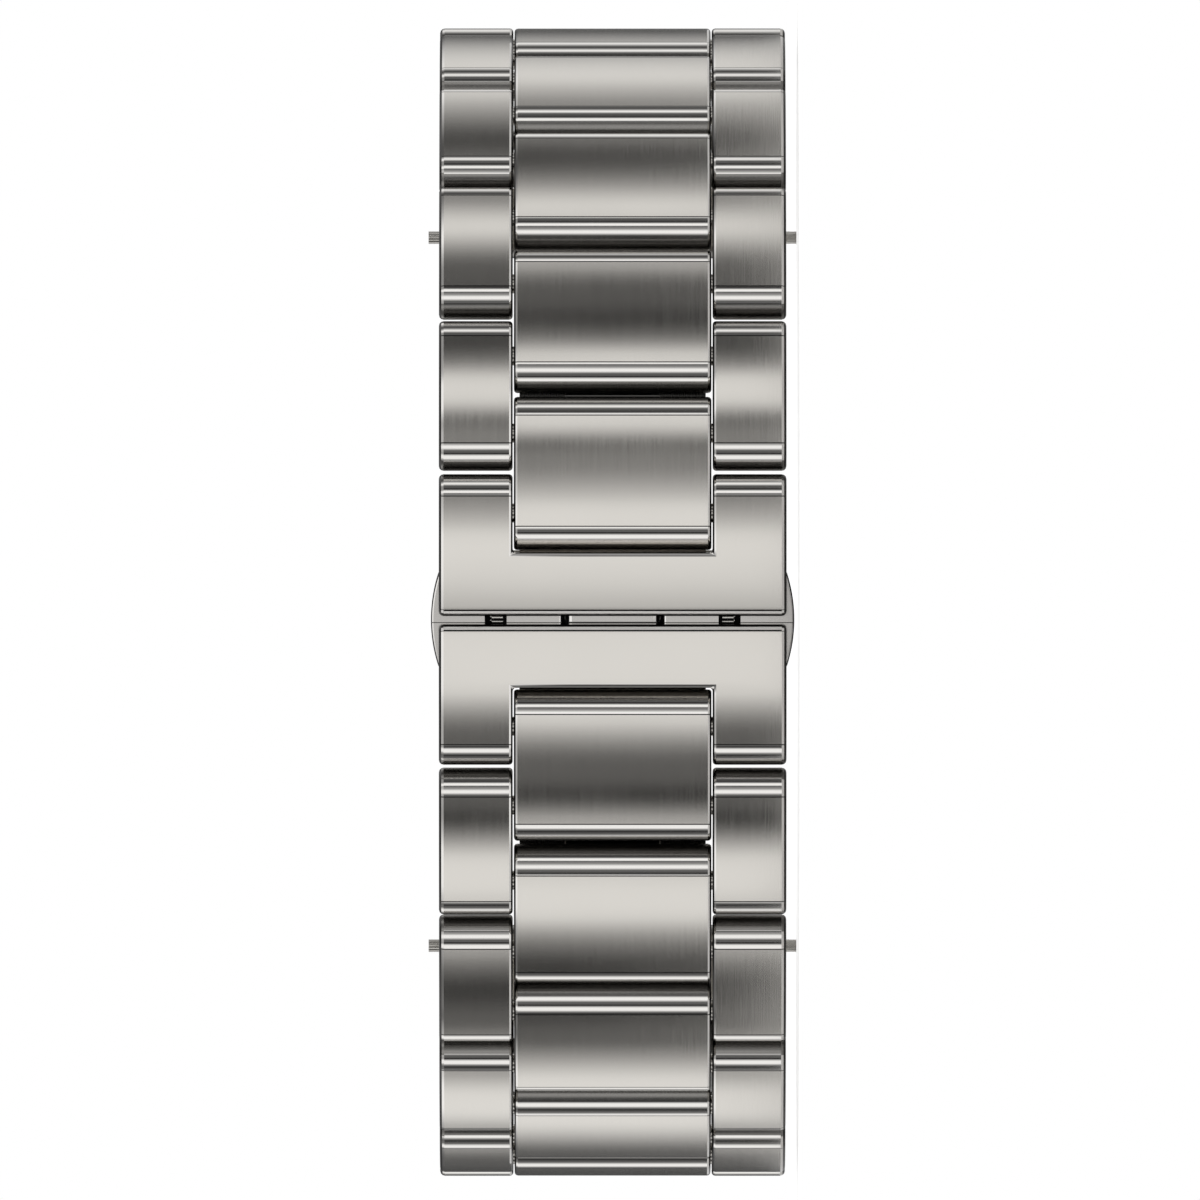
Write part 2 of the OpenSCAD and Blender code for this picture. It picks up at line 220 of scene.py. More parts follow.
def pick_nearest(*points):
    """Selects the outline's corner nearest to each point and gives the place of the last one."""
    mesh = bmesh.from_edit_mesh(bpy.context.object.data)
    bpy.ops.mesh.select_mode(type="VERT")
    bpy.ops.mesh.select_all(action="DESELECT")
    for point in points:
        place = outline_point(point)
        near = min(mesh.verts, key=lambda corner: (corner.co - place).length)
        near.select_set(True)
    place = near.co.copy()
    bmesh.update_edit_mesh(bpy.context.object.data)
    return place


def joined(a, b):
    """Draws the straight edge between the outline's corners nearest to two points."""
    pick_nearest(a, b)
    bpy.ops.mesh.edge_face_add()


def drawn(points):
    """Draws a run of straight edges, corner by corner, from the outline's corner nearest the first."""
    place = pick_nearest(points[0])
    for point in points[1:]:
        goal = outline_point(point)
        bpy.ops.mesh.extrude_vertices_move(TRANSFORM_OT_translate={"value": goal - place})
        place = goal


def blank(name):
    """A new piece at the origin in edit mode, with nothing in its mesh yet."""
    bpy.ops.object.select_all(action="DESELECT")
    bpy.ops.mesh.primitive_circle_add(vertices=3, radius=MM, location=(0, 0, 0))
    piece = bpy.context.object
    piece.name = piece.data.name = name
    mode("EDIT")
    bpy.ops.mesh.select_mode(type="VERT")
    bpy.ops.mesh.select_all(action="SELECT")
    bpy.ops.mesh.delete(type="VERT")
    return piece


def raised(low, high):
    """Fills the outline and draws it out across the band, from one z to another."""
    bpy.ops.mesh.select_mode(type="VERT")
    bpy.ops.mesh.select_all(action="SELECT")
    bpy.ops.mesh.remove_doubles(threshold=MERGE * MM)
    bpy.ops.mesh.edge_face_add()
    bpy.ops.mesh.select_all(action="SELECT")
    bpy.ops.transform.translate(value=(0, 0, low * MM))
    bpy.ops.mesh.extrude_region_move(TRANSFORM_OT_translate={"value": (0, 0, (high - low) * MM)})
    bpy.ops.mesh.select_all(action="SELECT")
    bpy.ops.mesh.normals_make_consistent(inside=False)
    mode("OBJECT")


def box_tool(x, y, z):
    """A box between two places on each axis."""
    bpy.ops.object.select_all(action="DESELECT")
    size = [(high - low) * MM for low, high in (x, y, z)]
    middle = [(high + low) / 2 * MM for low, high in (x, y, z)]
    bpy.ops.mesh.primitive_cube_add(size=1, location=middle, scale=size)
    bpy.ops.object.transform_apply(location=True, rotation=False, scale=True)
    return bpy.context.object


def rod_tool(radius, x, y, z):
    """A rod across the band at one place, between two heights."""
    bpy.ops.object.select_all(action="DESELECT")
    bpy.ops.mesh.primitive_cylinder_add(vertices=ROD_CORNERS, radius=radius * MM, depth=(z[1] - z[0]) * MM,
                                        location=(x * MM, y * MM, (z[0] + z[1]) / 2 * MM))
    bpy.ops.object.transform_apply(location=True, rotation=False, scale=True)
    return bpy.context.object


def joined_with(piece, tool, operation):
    """Adds a tool to a piece or takes it away, and uses the tool up."""
    pick_objects(piece)
    bpy.ops.object.modifier_add(type="BOOLEAN")
    change = piece.modifiers[-1]
    change.operation = operation
    change.object = tool
    change.solver = "EXACT"
    bpy.ops.object.modifier_apply(modifier=change.name)
    bpy.data.objects.remove(tool)


def cut(piece, *tools):
    for tool in tools:
        joined_with(piece, tool, "DIFFERENCE")


def weld(piece, *tools):
    for tool in tools:
        joined_with(piece, tool, "UNION")


def edged(piece, radius=EDGE_R):
    """Breaks the sharp edges with narrow flats, polished towards the face and painted dark towards the side
    as a painted dark reflection.
    """
    pick_objects(piece)
    mode("EDIT")
    bpy.ops.mesh.select_mode(type="EDGE")
    bpy.ops.mesh.select_all(action="DESELECT")
    bpy.ops.mesh.edges_select_sharp(sharpness=SHARP)
    inner = min(1, radius / OUTER_EDGE_R)
    bpy.ops.transform.edge_bevelweight(value=inner)
    mesh = bmesh.from_edit_mesh(piece.data)
    for edge in mesh.edges:
        if any(abs(abs(corner.co.z) / MM - SIDE_OUT) > HAIR for corner in edge.verts):
            edge.select_set(False)
    bmesh.update_edit_mesh(piece.data)
    bpy.ops.transform.edge_bevelweight(value=1 - inner)
    mode("OBJECT")
    bpy.ops.object.modifier_add(type="BEVEL")
    bevel = piece.modifiers[-1]
    bevel.width = max(radius, OUTER_EDGE_R) * MM
    bevel.segments = EDGE_FLATS
    bevel.limit_method = "WEIGHT"
    bevel.material = POLISHED
    bpy.ops.object.modifier_apply(modifier=bevel.name)
    paint(piece, PAINTED_DARK, lambda m, n: SIDEWAYS < abs(n[2]) < FULLY_SIDEWAYS)
    smooth(piece)


def smooth(piece):
    pick_objects(piece)
    bpy.ops.object.shade_smooth_by_angle(angle=SMOOTH)


def finished(piece, *materials):
    """Gives a piece its list of finishes, in the order satin, polished, painted dark reflection and shade,
    painted gap shade, painted highlight.
    """
    for material in materials:
        piece.data.materials.append(material)


def paint(piece, slot, test):
    """Gives one of the piece's finishes to the faces whose middle and normal pass the test."""
    pick_objects(piece)
    mode("EDIT")
    bpy.ops.mesh.select_mode(type="FACE")
    bpy.ops.mesh.select_all(action="DESELECT")
    mesh = bmesh.from_edit_mesh(piece.data)
    for face in mesh.faces:
        if test(face.calc_center_median() / MM, face.normal):
            face.select_set(True)
    bmesh.update_edit_mesh(piece.data)
    piece.active_material_index = slot
    bpy.ops.object.material_slot_assign()
    mode("OBJECT")


def scored(piece, *places):
    """Cuts an edge round the piece across the band at each place along it."""
    pick_objects(piece)
    mode("EDIT")
    for x in places:
        bpy.ops.mesh.select_all(action="SELECT")
        bpy.ops.mesh.bisect(plane_co=(x * MM, 0, 0), plane_no=(1, 0, 0),
                            threshold=ON_THE_LINE)
    mode("OBJECT")


def mirrored(piece, axis):
    """Makes a piece its own mirror image about the origin, along one axis."""
    pick_objects(piece)
    mode("EDIT")
    bpy.ops.mesh.select_all(action="SELECT")
    bpy.ops.transform.mirror(constraint_axis=[name == axis for name in "XYZ"], center_override=(0, 0, 0))
    bpy.ops.mesh.normals_make_consistent(inside=False)
    mode("OBJECT")


def copy_of(model, name):
    """A copy of a model with its own mesh."""
    piece = model.copy()
    piece.data = model.data.copy()
    piece.name = piece.data.name = name
    bpy.context.scene.collection.objects.link(piece)
    return piece


# Finishes


def node(tree, kind, place, **settings):
    made = tree.nodes.new(kind)
    made.location = place
    for name, value in settings.items():
        setattr(made, name, value)
    return made


def steel_grain():
    """Fine drawn lines along the band, with a soft cloud of handling over them."""
    group = bpy.data.node_groups.new("Steel grain", "ShaderNodeTree")
    face = group.interface
    for name, value in (("Lines per mm", 14.0), ("Line length", 3.0), ("Roughness", 0.2), ("Spread", 0.05),
                        ("Cloud", 0.02)):
        socket = face.new_socket(name=name, in_out="INPUT", socket_type="NodeSocketFloat")
        socket.default_value = value
    light = face.new_socket(name="Light tone", in_out="INPUT", socket_type="NodeSocketColor")
    dark = face.new_socket(name="Dark tone", in_out="INPUT", socket_type="NodeSocketColor")
    light.default_value = (0.7, 0.7, 0.7, 1)
    dark.default_value = (0.65, 0.65, 0.65, 1)
    face.new_socket(name="Color", in_out="OUTPUT", socket_type="NodeSocketColor")
    face.new_socket(name="Roughness", in_out="OUTPUT", socket_type="NodeSocketFloat")
    face.new_socket(name="Height", in_out="OUTPUT", socket_type="NodeSocketFloat")
    read = node(group, "NodeGroupInput", (-1100, 0))
    give = node(group, "NodeGroupOutput", (700, 0))
    place = node(group, "ShaderNodeTexCoord", (-1100, 300))
    split = node(group, "ShaderNodeSeparateXYZ", (-900, 300))
    across = node(group, "ShaderNodeMath", (-700, 400), operation="MULTIPLY")
    per_metre = node(group, "ShaderNodeMath", (-900, 120), operation="MULTIPLY")
    per_metre.inputs[1].default_value = 1000.0
    along_rate = node(group, "ShaderNodeMath", (-700, 60), operation="DIVIDE")
    along_x = node(group, "ShaderNodeMath", (-500, 300), operation="MULTIPLY")
    along_y = node(group, "ShaderNodeMath", (-500, 140), operation="MULTIPLY")
    merged = node(group, "ShaderNodeCombineXYZ", (-300, 300))
    lines = node(group, "ShaderNodeTexNoise", (-100, 320))
    lines.inputs["Scale"].default_value = 1.0
    lines.inputs["Detail"].default_value = 2.0
    grain = node(group, "ShaderNodeTexNoise", (-100, 60))
    grain.inputs["Scale"].default_value = 9000.0
    grain.inputs["Detail"].default_value = 1.0
    cloud = node(group, "ShaderNodeTexNoise", (-100, -200))
    cloud.inputs["Scale"].default_value = 160.0
    cloud.inputs["Detail"].default_value = 3.0
    both = node(group, "ShaderNodeMix", (140, 260), data_type="FLOAT")
    both.inputs["Factor"].default_value = 0.25
    rise = node(group, "ShaderNodeMapRange", (140, 20))
    rise.inputs["To Min"].default_value = -1.0
    drift = node(group, "ShaderNodeMapRange", (140, -240))
    drift.inputs["To Min"].default_value = -1.0
    line_part = node(group, "ShaderNodeMath", (320, 20), operation="MULTIPLY")
    cloud_part = node(group, "ShaderNodeMath", (320, -200), operation="MULTIPLY")
    first = node(group, "ShaderNodeMath", (480, 20), operation="ADD")
    total = node(group, "ShaderNodeMath", (580, -140), operation="ADD")
    tone = node(group, "ShaderNodeMix", (480, 320), data_type="RGBA")
    join = group.links.new
    join(place.outputs["Object"], split.inputs[0])
    join(read.outputs["Lines per mm"], per_metre.inputs[0])
    join(split.outputs["Z"], across.inputs[0])
    join(per_metre.outputs[0], across.inputs[1])
    join(per_metre.outputs[0], along_rate.inputs[0])
    join(read.outputs["Line length"], along_rate.inputs[1])
    join(split.outputs["X"], along_x.inputs[0])
    join(along_rate.outputs[0], along_x.inputs[1])
    join(split.outputs["Y"], along_y.inputs[0])
    join(along_rate.outputs[0], along_y.inputs[1])
    join(along_x.outputs[0], merged.inputs["X"])
    join(along_y.outputs[0], merged.inputs["Y"])
    join(across.outputs[0], merged.inputs["Z"])
    join(merged.outputs[0], lines.inputs["Vector"])
    join(place.outputs["Object"], grain.inputs["Vector"])
    join(place.outputs["Object"], cloud.inputs["Vector"])
    join(lines.outputs[0], both.inputs["A"])
    join(grain.outputs[0], both.inputs["B"])
    join(both.outputs["Result"], rise.inputs["Value"])
    join(cloud.outputs[0], drift.inputs["Value"])
    join(rise.outputs["Result"], line_part.inputs[0])
    join(read.outputs["Spread"], line_part.inputs[1])
    join(drift.outputs["Result"], cloud_part.inputs[0])
    join(read.outputs["Cloud"], cloud_part.inputs[1])
    join(read.outputs["Roughness"], first.inputs[0])
    join(line_part.outputs[0], first.inputs[1])
    join(first.outputs[0], total.inputs[0])
    join(cloud_part.outputs[0], total.inputs[1])
    join(both.outputs["Result"], tone.inputs["Factor"])
    join(read.outputs["Dark tone"], tone.inputs[6])
    join(read.outputs["Light tone"], tone.inputs[7])
    join(tone.outputs[2], give.inputs["Color"])
    join(total.outputs[0], give.inputs["Roughness"])
    join(both.outputs["Result"], give.inputs["Height"])
    return group


GRAIN = steel_grain()


def steel(name, light, dark, roughness, spread, cloud, lines, length, bump):
    """A steel with its drawn lines: how many a millimetre, how long and how deep they catch the light."""
    material = bpy.data.materials.new(name)
    material.use_nodes = True
    tree = material.node_tree
    shader = tree.nodes["Principled BSDF"]
    shader.inputs["Metallic"].default_value = 1.0
    grain = node(tree, "ShaderNodeGroup", (-500, 100), node_tree=GRAIN)
    grain.inputs["Light tone"].default_value = (*light, 1)
    grain.inputs["Dark tone"].default_value = (*dark, 1)
    grain.inputs["Roughness"].default_value = roughness
    grain.inputs["Spread"].default_value = spread
    grain.inputs["Cloud"].default_value = cloud
    grain.inputs["Lines per mm"].default_value = lines
    grain.inputs["Line length"].default_value = length
    relief = node(tree, "ShaderNodeBump", (-250, -150))
    relief.inputs["Strength"].default_value = bump
    relief.inputs["Distance"].default_value = LINE_RELIEF * MM
    tree.links.new(grain.outputs["Color"], shader.inputs["Base Color"])
    tree.links.new(grain.outputs["Roughness"], shader.inputs["Roughness"])
    tree.links.new(grain.outputs["Height"], relief.inputs["Height"])
    tree.links.new(relief.outputs["Normal"], shader.inputs["Normal"])
    return material


satin = steel("Satin steel", light=(0.73, 0.705, 0.66), dark=(0.68, 0.655, 0.615),
              roughness=0.16, spread=0.04, cloud=0.02, lines=14, length=40, bump=0.4)
polished = steel("Polished steel", light=(0.86, 0.84, 0.81), dark=(0.83, 0.81, 0.78),
                 roughness=0.07, spread=0.02, cloud=0.02, lines=20, length=4, bump=0.1)
blade_steel = steel("Blade steel", light=(0.74, 0.72, 0.68), dark=(0.71, 0.69, 0.65),
                    roughness=0.12, spread=0.03, cloud=0.02, lines=16, length=20, bump=0.2)
turned = steel("Turned steel", light=(0.66, 0.64, 0.60), dark=(0.6, 0.58, 0.55),
               roughness=0.2, spread=0.06, cloud=0.03, lines=16, length=1, bump=0.4)
pressed = steel("Pressed steel", light=(0.66, 0.64, 0.6), dark=(0.6, 0.585, 0.55),
                roughness=0.27, spread=0.07, cloud=0.05, lines=10, length=20, bump=0.6)
# Darker than the satin: painted shade, for the buttons and the block lying deep in the seam below the covers
seam_shaded_button_steel = steel("Button steel with painted seam shade", light=(0.53, 0.515, 0.495), dark=(0.49, 0.475, 0.455),
                     roughness=0.2, spread=0.04, cloud=0.02, lines=14, length=40, bump=0.3)
# Painted shade, not a steel of its own: dark steel for the round ends where they face into the gaps between
# links, and for the blade pin
gap_shade_steel = steel("Painted gap shade steel", light=(0.3, 0.29, 0.275), dark=(0.24, 0.232, 0.22),
                  roughness=0.22, spread=0.05, cloud=0.04, lines=14, length=6, bump=0.3)
# Painted dark reflection and painted shade: near-black steel for the side-facing flats of broken edges, the
# line where a round end begins, bands on the lip at the seam and the floor of the latch's groove
dark_reflection_and_shade = steel("Painted dark reflection and shade", light=(0.06, 0.058, 0.056), dark=(0.04, 0.038, 0.036),
                  roughness=0.3, spread=0.05, cloud=0.02, lines=20, length=4, bump=0.1)
# Painted highlight: pale rough steel for a band of facets on the lip at the seam
painted_highlight_steel = steel("Painted highlight steel", light=(0.95, 0.93, 0.9), dark=(0.92, 0.9, 0.87),
                  roughness=0.42, spread=0.05, cloud=0.02, lines=20, length=4, bump=0.1)
spring = steel("Spring wire", light=(0.5, 0.49, 0.47), dark=(0.42, 0.41, 0.40),
               roughness=0.3, spread=0.08, cloud=0.04, lines=20, length=2, bump=0.5)


def within(tree, place, value, middle, reach):
    """A mask that is one where a value lies within reach of the middle, in millimetres."""
    made = node(tree, "ShaderNodeMath", place, operation="COMPARE")
    made.inputs[1].default_value = middle * MM
    made.inputs[2].default_value = reach * MM
    tree.links.new(value, made.inputs[0])
    return made.outputs[0]


def combined(tree, place, operation, first, second):
    """A mask worked out from two others."""
    made = node(tree, "ShaderNodeMath", place, operation=operation)
    tree.links.new(first, made.inputs[0])
    tree.links.new(second, made.inputs[1])
    return made.outputs[0]


def darkened(material, mask, share):
    """Paints shade on a finish: where the mask is one, the given share of its tone goes to the dark shadow
    tone.
    """
    tree = material.node_tree
    shader = tree.nodes["Principled BSDF"]
    link = shader.inputs["Base Color"].links[0]
    amount = node(tree, "ShaderNodeMath", (-450, 500), operation="MULTIPLY")
    amount.inputs[1].default_value = share
    mixed = node(tree, "ShaderNodeMix", (-250, 500), data_type="RGBA")
    mixed.inputs[7].default_value = (SHADOW_TONE, SHADOW_TONE, SHADOW_TONE, 1)
    tree.links.new(mask, amount.inputs[0])
    tree.links.new(amount.outputs[0], mixed.inputs["Factor"])
    tree.links.new(link.from_socket, mixed.inputs[6])
    tree.links.new(mixed.outputs[2], shader.inputs["Base Color"])


def coordinates(material):
    """Object coordinates of a finish: along x, depth y, and the distance from the middle of the band."""
    tree = material.node_tree
    place = node(tree, "ShaderNodeTexCoord", (-1500, 700))
    split = node(tree, "ShaderNodeSeparateXYZ", (-1300, 700))
    level = node(tree, "ShaderNodeMath", (-1100, 400), operation="SUBTRACT")
    level.inputs[1].default_value = MID_Z
    across = node(tree, "ShaderNodeMath", (-950, 400), operation="ABSOLUTE")
    along = node(tree, "ShaderNodeMath", (-1100, 250), operation="ABSOLUTE")
    tree.links.new(place.outputs["Object"], split.inputs[0])
    tree.links.new(split.outputs["Z"], level.inputs[0])
    tree.links.new(level.outputs[0], across.inputs[0])
    tree.links.new(split.outputs["X"], along.inputs[0])
    return split.outputs["X"], along.outputs[0], split.outputs["Y"], across.outputs[0]


def seam_shadow(material):
    """Paints the plate black under the seam as painted shadow, where no light comes in, but for two painted
    glints at each hook, where the shadow is left off.
    """
    tree = material.node_tree
    x, _, y, across = coordinates(material)
    near = within(tree, (-1100, 900), x, 0, SHADE_X)
    deep = within(tree, (-1100, 700), y, TOP_Y / MM + SHADE_DEPTH, SHADE_DEPTH)
    wide = within(tree, (-750, 400), across, 0, SHADE_Z)
    strip = combined(tree, (-750, 800), "MULTIPLY", near, deep)
    shade = combined(tree, (-600, 700), "MULTIPLY", strip, wide)
    upper = within(tree, (-1100, 1300), x, GLINT_X[0], GLINT_W / 2)
    lower = within(tree, (-1100, 1100), x, GLINT_X[1], GLINT_W / 3)
    hook = within(tree, (-750, 200), across, GLINT_Z, GLINT_L / 2)
    glints = combined(tree, (-750, 1200), "MAXIMUM", upper, lower)
    lit = combined(tree, (-600, 1000), "MULTIPLY", glints, hook)
    darkened(material, combined(tree, (-450, 800), "SUBTRACT", shade, lit), 1.0)


def hinge_shadow(material):
    """Paints shade on the outer half of the hinges, which lie deep in the gap between two links."""
    tree = material.node_tree
    _, along, y, _ = coordinates(material)
    near = within(tree, (-1100, -400), along, HINGE_FAR_X, HINGE_SHADE_X)
    deep = within(tree, (-1100, -600), y, TOP_Y / MM, HINGE_SHADE_DEPTH)
    darkened(material, combined(tree, (-750, -400), "MULTIPLY", near, deep), HINGE_SHADE)


# Links


def nose_drop(length, radius):
    """Depth of the middle of a link's round end below the middle of its thickness."""
    return FACE_R - LINK_T / 2 - math.sqrt((FACE_R - radius) ** 2 - (length / 2 - radius) ** 2)


def round_end(heart, side, out, flat):
    """The polished round from a face, which leans by out, to the flat inside."""
    inner = (heart, (-side, 0))
    arc(heart, POLISH_R, NOSE_CORNERS, [inner, (heart, (-side * out[0], -out[1])), (heart, (0, 1))])
    arc(heart, POLISH_R, NOSE_CORNERS, [inner, (heart, (0, -1))], (flat - heart[1]) / POLISH_R)


def bar_outline(middle, length):
    """Side view of a link: the domed face, a round end each side and the flat inside."""
    half = length / 2 - POLISH_R
    drop = nose_drop(length, POLISH_R)
    flat = nose_drop(length, NOSE_R) + NOSE_R
    lean = math.asin(half / (FACE_R - POLISH_R))
    top = (middle, FACE_R - LINK_T / 2)
    out = (math.cos(lean), math.sin(lean))
    arc(top, FACE_R, FACE_CORNERS, [(top, out), (top, (-out[0], out[1])), (top, (0, 1))])
    for side in (-1, 1):
        round_end((middle + side * half, drop), side, out, flat)
    joined((middle - half, flat), (middle + half, flat))


def bar(name, middle, length, low, high):
    """A bar of the band between two heights, with its edges still sharp and satin all over."""
    piece = blank(name)
    bar_outline(middle, length)
    raised(low, high)
    finished(piece, satin, polished, dark_reflection_and_shade, gap_shade_steel)
    return piece


def finish_bar(piece, middle, length):
    """Breaks a bar's edges and polishes its round ends down to the gap, with a painted dark line where they
    begin and painted shade where they face into the gap.
    """
    edged(piece)
    reach = (length / 2 - POLISH_R) * FACE_R / (FACE_R - POLISH_R)
    scored(piece, middle - reach + BORDER_W, middle + reach - BORDER_W)
    paint(piece, POLISHED, lambda m, n: abs(m[0] - middle) > reach and abs(n[2]) < SIDEWAYS)
    paint(piece, PAINTED_DARK, lambda m, n: reach - BORDER_W < abs(m[0] - middle) < reach and n[1] < OUTWARD)
    paint(piece, GAP_SHADE, lambda m, n: abs(m[0] - middle) > reach and abs(n[2]) < SIDEWAYS and n[1] > -GAP_LEAN)


def centre_model():
    """A centre link with its first pin at the origin."""
    piece = bar("centre link model", PITCH / 2, LINK_L, -CENTRE_W / 2, CENTRE_W / 2)
    finish_bar(piece, PITCH / 2, LINK_L)
    for x in (0, PITCH):
        cut(piece, rod_tool(PIN_R + PIN_PLAY, x, 0, (-SIDE_OUT, SIDE_OUT)))
    smooth(piece)
    return piece


def side_model():
    """A pair of side links, one each side of the centre link."""
    piece = bar("side link model", PITCH / 2, LINK_L, SIDE_IN, SIDE_OUT)
    finish_bar(piece, PITCH / 2, LINK_L)
    for x in (0, PITCH):
        cut(piece, rod_tool(PIN_R, x, 0, (SIDE_IN - 1, SIDE_OUT + 1)))
    smooth(piece)
    pick_objects(piece)
    bpy.ops.object.duplicate()
    other = bpy.context.object
    mirrored(other, "Z")
    pick_objects(piece, other)
    bpy.ops.object.join()
    return piece


def placed(model, name, pin, tilt, body, node_name):
    """A copy of a link's model with its first pin at the given place, turned by the tilt about it."""
    piece = copy_of(model, name)
    piece.data.transform(Matrix.Translation(pin) @ Matrix.Rotation(tilt, 4, "Z"))
    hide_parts(node_name)
    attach(piece, body)
    return piece


def pins_of(half):
    """Places of a half's pins, in order from the clasp to the watch."""
    found = sorted((joint["name"], joint["pos_m"]) for joint in frame["joints"]
                   if joint["name"].startswith("bend_" + half))
    return [Vector((place[0], place[1], MID_Z)) for _, place in found]


def clear_of_hinge(piece, half, pin):
    """Hollows the inside of a first link where the clasp's hinge comes near when the link bends back."""
    hand = 1 if half == "a" else -1
    hinge = Vector((hand * HINGE_X * MM, TOP_Y + HINGE_DEPTH * MM, MID_Z))
    place = pin + Matrix.Rotation(hand * FIRST_BACK, 4, "Z") @ (hinge - pin)
    cut(piece, rod_tool(KNUCKLE_ROOM, place.x / MM, place.y / MM, (0, 2 * MID_Z / MM)))
    smooth(piece)


def build_links():
    """Sets a centre link or a pair of side links between each two pins, by turns."""
    centre = centre_model()
    sides = side_model()
    for half in "ab":
        pins = pins_of(half)
        for k in range(2 * LINKS):
            first, second = (pins[k], pins[k + 1]) if half == "a" else (pins[k + 1], pins[k])
            tilt = math.atan2(second.y - first.y, second.x - first.x)
            number = k // 2 + 1
            if k % 2 == 0:
                piece = placed(centre, f"centre_bar_{half}{number}", first, tilt,
                               f"centre_{half}{number}", f"centre_link_{half}{number}")
                if number == 1:
                    clear_of_hinge(piece, half, pins[0])
            else:
                placed(sides, f"side_bars_{half}{number}", first, tilt,
                       f"sides_{half}{number}", f"side_links_{half}{number}")
    bpy.data.objects.remove(centre)
    bpy.data.objects.remove(sides)


# End links


def build_end_link(half):
    """The last piece of each half: as wide as the band, with a tongue for the last pin."""
    hand = 1 if half == "a" else -1
    pins = pins_of(half)
    overhang = (LINK_L - PITCH) / 2 - NOSE_R
    length = END_REACH + overhang + 2 * NOSE_R
    drop = nose_drop(length, NOSE_R)
    sweep = math.hypot(overhang, nose_drop(LINK_L, NOSE_R)) + NOSE_R
    middle = (END_REACH - overhang) / 2
    piece = bar(f"end_bar_{half}", middle, length, -SIDE_OUT, SIDE_OUT)
    for z in ((-SIDE_OUT - 1, -CENTRE_W / 2), (CENTRE_W / 2, SIDE_OUT + 1)):
        cut(piece, box_tool((-PAST, sweep + END_GAP), (-PAST, PAST), z))
    finish_bar(piece, middle, length)
    cut(piece, rod_tool(PIN_R + PIN_PLAY, 0, 0, (-SIDE_OUT, SIDE_OUT)))
    cut(piece, rod_tool(BAR_BORE_R, END_REACH, drop, (-SIDE_OUT - 1, SIDE_OUT + 1)))
    smooth(piece)
    last = pins[-1]
    bar_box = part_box(f"spring_bar_{half}")
    bar_place = Vector(((bar_box[0][0] + bar_box[1][0]) / 2, (bar_box[0][1] + bar_box[1][1]) / 2, MID_Z))
    reach = bar_place - last
    tilt = math.atan2(reach.y, hand * reach.x) - math.atan2(drop, END_REACH)
    if hand < 0:
        mirrored(piece, "X")
    piece.data.transform(Matrix.Translation(last) @ Matrix.Rotation(hand * tilt, 4, "Z"))
    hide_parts(f"end_link_{half}")
    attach(piece, f"end_{half}")


# Clasp


def to_clasp(piece, half="a"):
    """Moves a piece of the clasp from depths below the covers' highest line to its place in the frame."""
    if half == "b":
        mirrored(piece, "X")
    piece.data.transform(Matrix.Translation((0, TOP_Y, MID_Z)))


